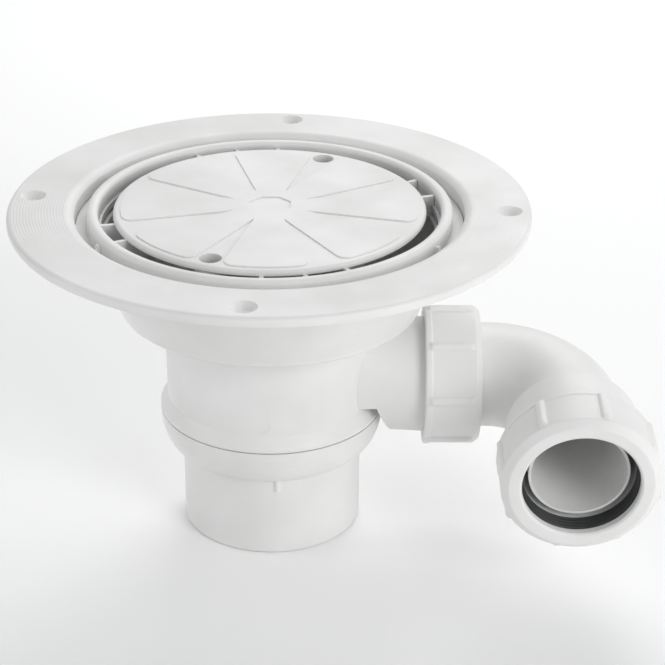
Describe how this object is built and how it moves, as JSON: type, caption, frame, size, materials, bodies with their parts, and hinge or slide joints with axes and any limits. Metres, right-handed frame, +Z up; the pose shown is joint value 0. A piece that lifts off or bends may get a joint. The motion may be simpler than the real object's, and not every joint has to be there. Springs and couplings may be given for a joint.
{
  "type": "shower tray trap",
  "caption": "White plastic shower tray trap: wide screw-down flange, clamp ring and round cover plate over a bowl with dip tube and base cup, and a swivel side outlet bend with compression nuts",
  "frame": {"origin": "centre of the flat underside of the base cup, on the axis of the body", "axes": "+Z up along the body axis, +X along the side branch, outlet of the bend towards -Y at rest"},
  "size_m": [0.2467, 0.2, 0.1355],
  "materials": {
    "trap_plastic": "moulded white plastic, fine turning lines on the flange",
    "cover_plastic": "moulded white plastic, satin",
    "seal_rubber": "black moulded rubber",
    "screw_steel": "zinc-plated steel"
  },
  "bodies": {
    "trap": {"flange": "trap_plastic", "bowl": "trap_plastic", "barrel": "trap_plastic", "side_branch": "trap_plastic", "screw_post_rear": "trap_plastic", "screw_post_front": "trap_plastic", "base_cup": "trap_plastic", "ring_gasket": "seal_rubber", "clamp_ring": "trap_plastic", "cover_plate": "cover_plastic", "cover_screw_rear": "screw_steel", "cover_screw_front": "screw_steel", "dip_tube": "trap_plastic", "dip_tube_seal": "seal_rubber", "branch_nut": "trap_plastic", "branch_slip_ring": "trap_plastic", "branch_seal": "seal_rubber"},
    "bend": {"swivel_bend": "trap_plastic", "outlet_nut": "trap_plastic", "outlet_seal": "seal_rubber"}
  },
  "joints": [
    {"name": "bend_swivel", "type": "hinge", "parent": "trap", "child": "bend", "pos_m": [0.08, 0, 0.0621], "axis": [1, 0, 0], "range_deg": [-50, 218]}
  ]
}
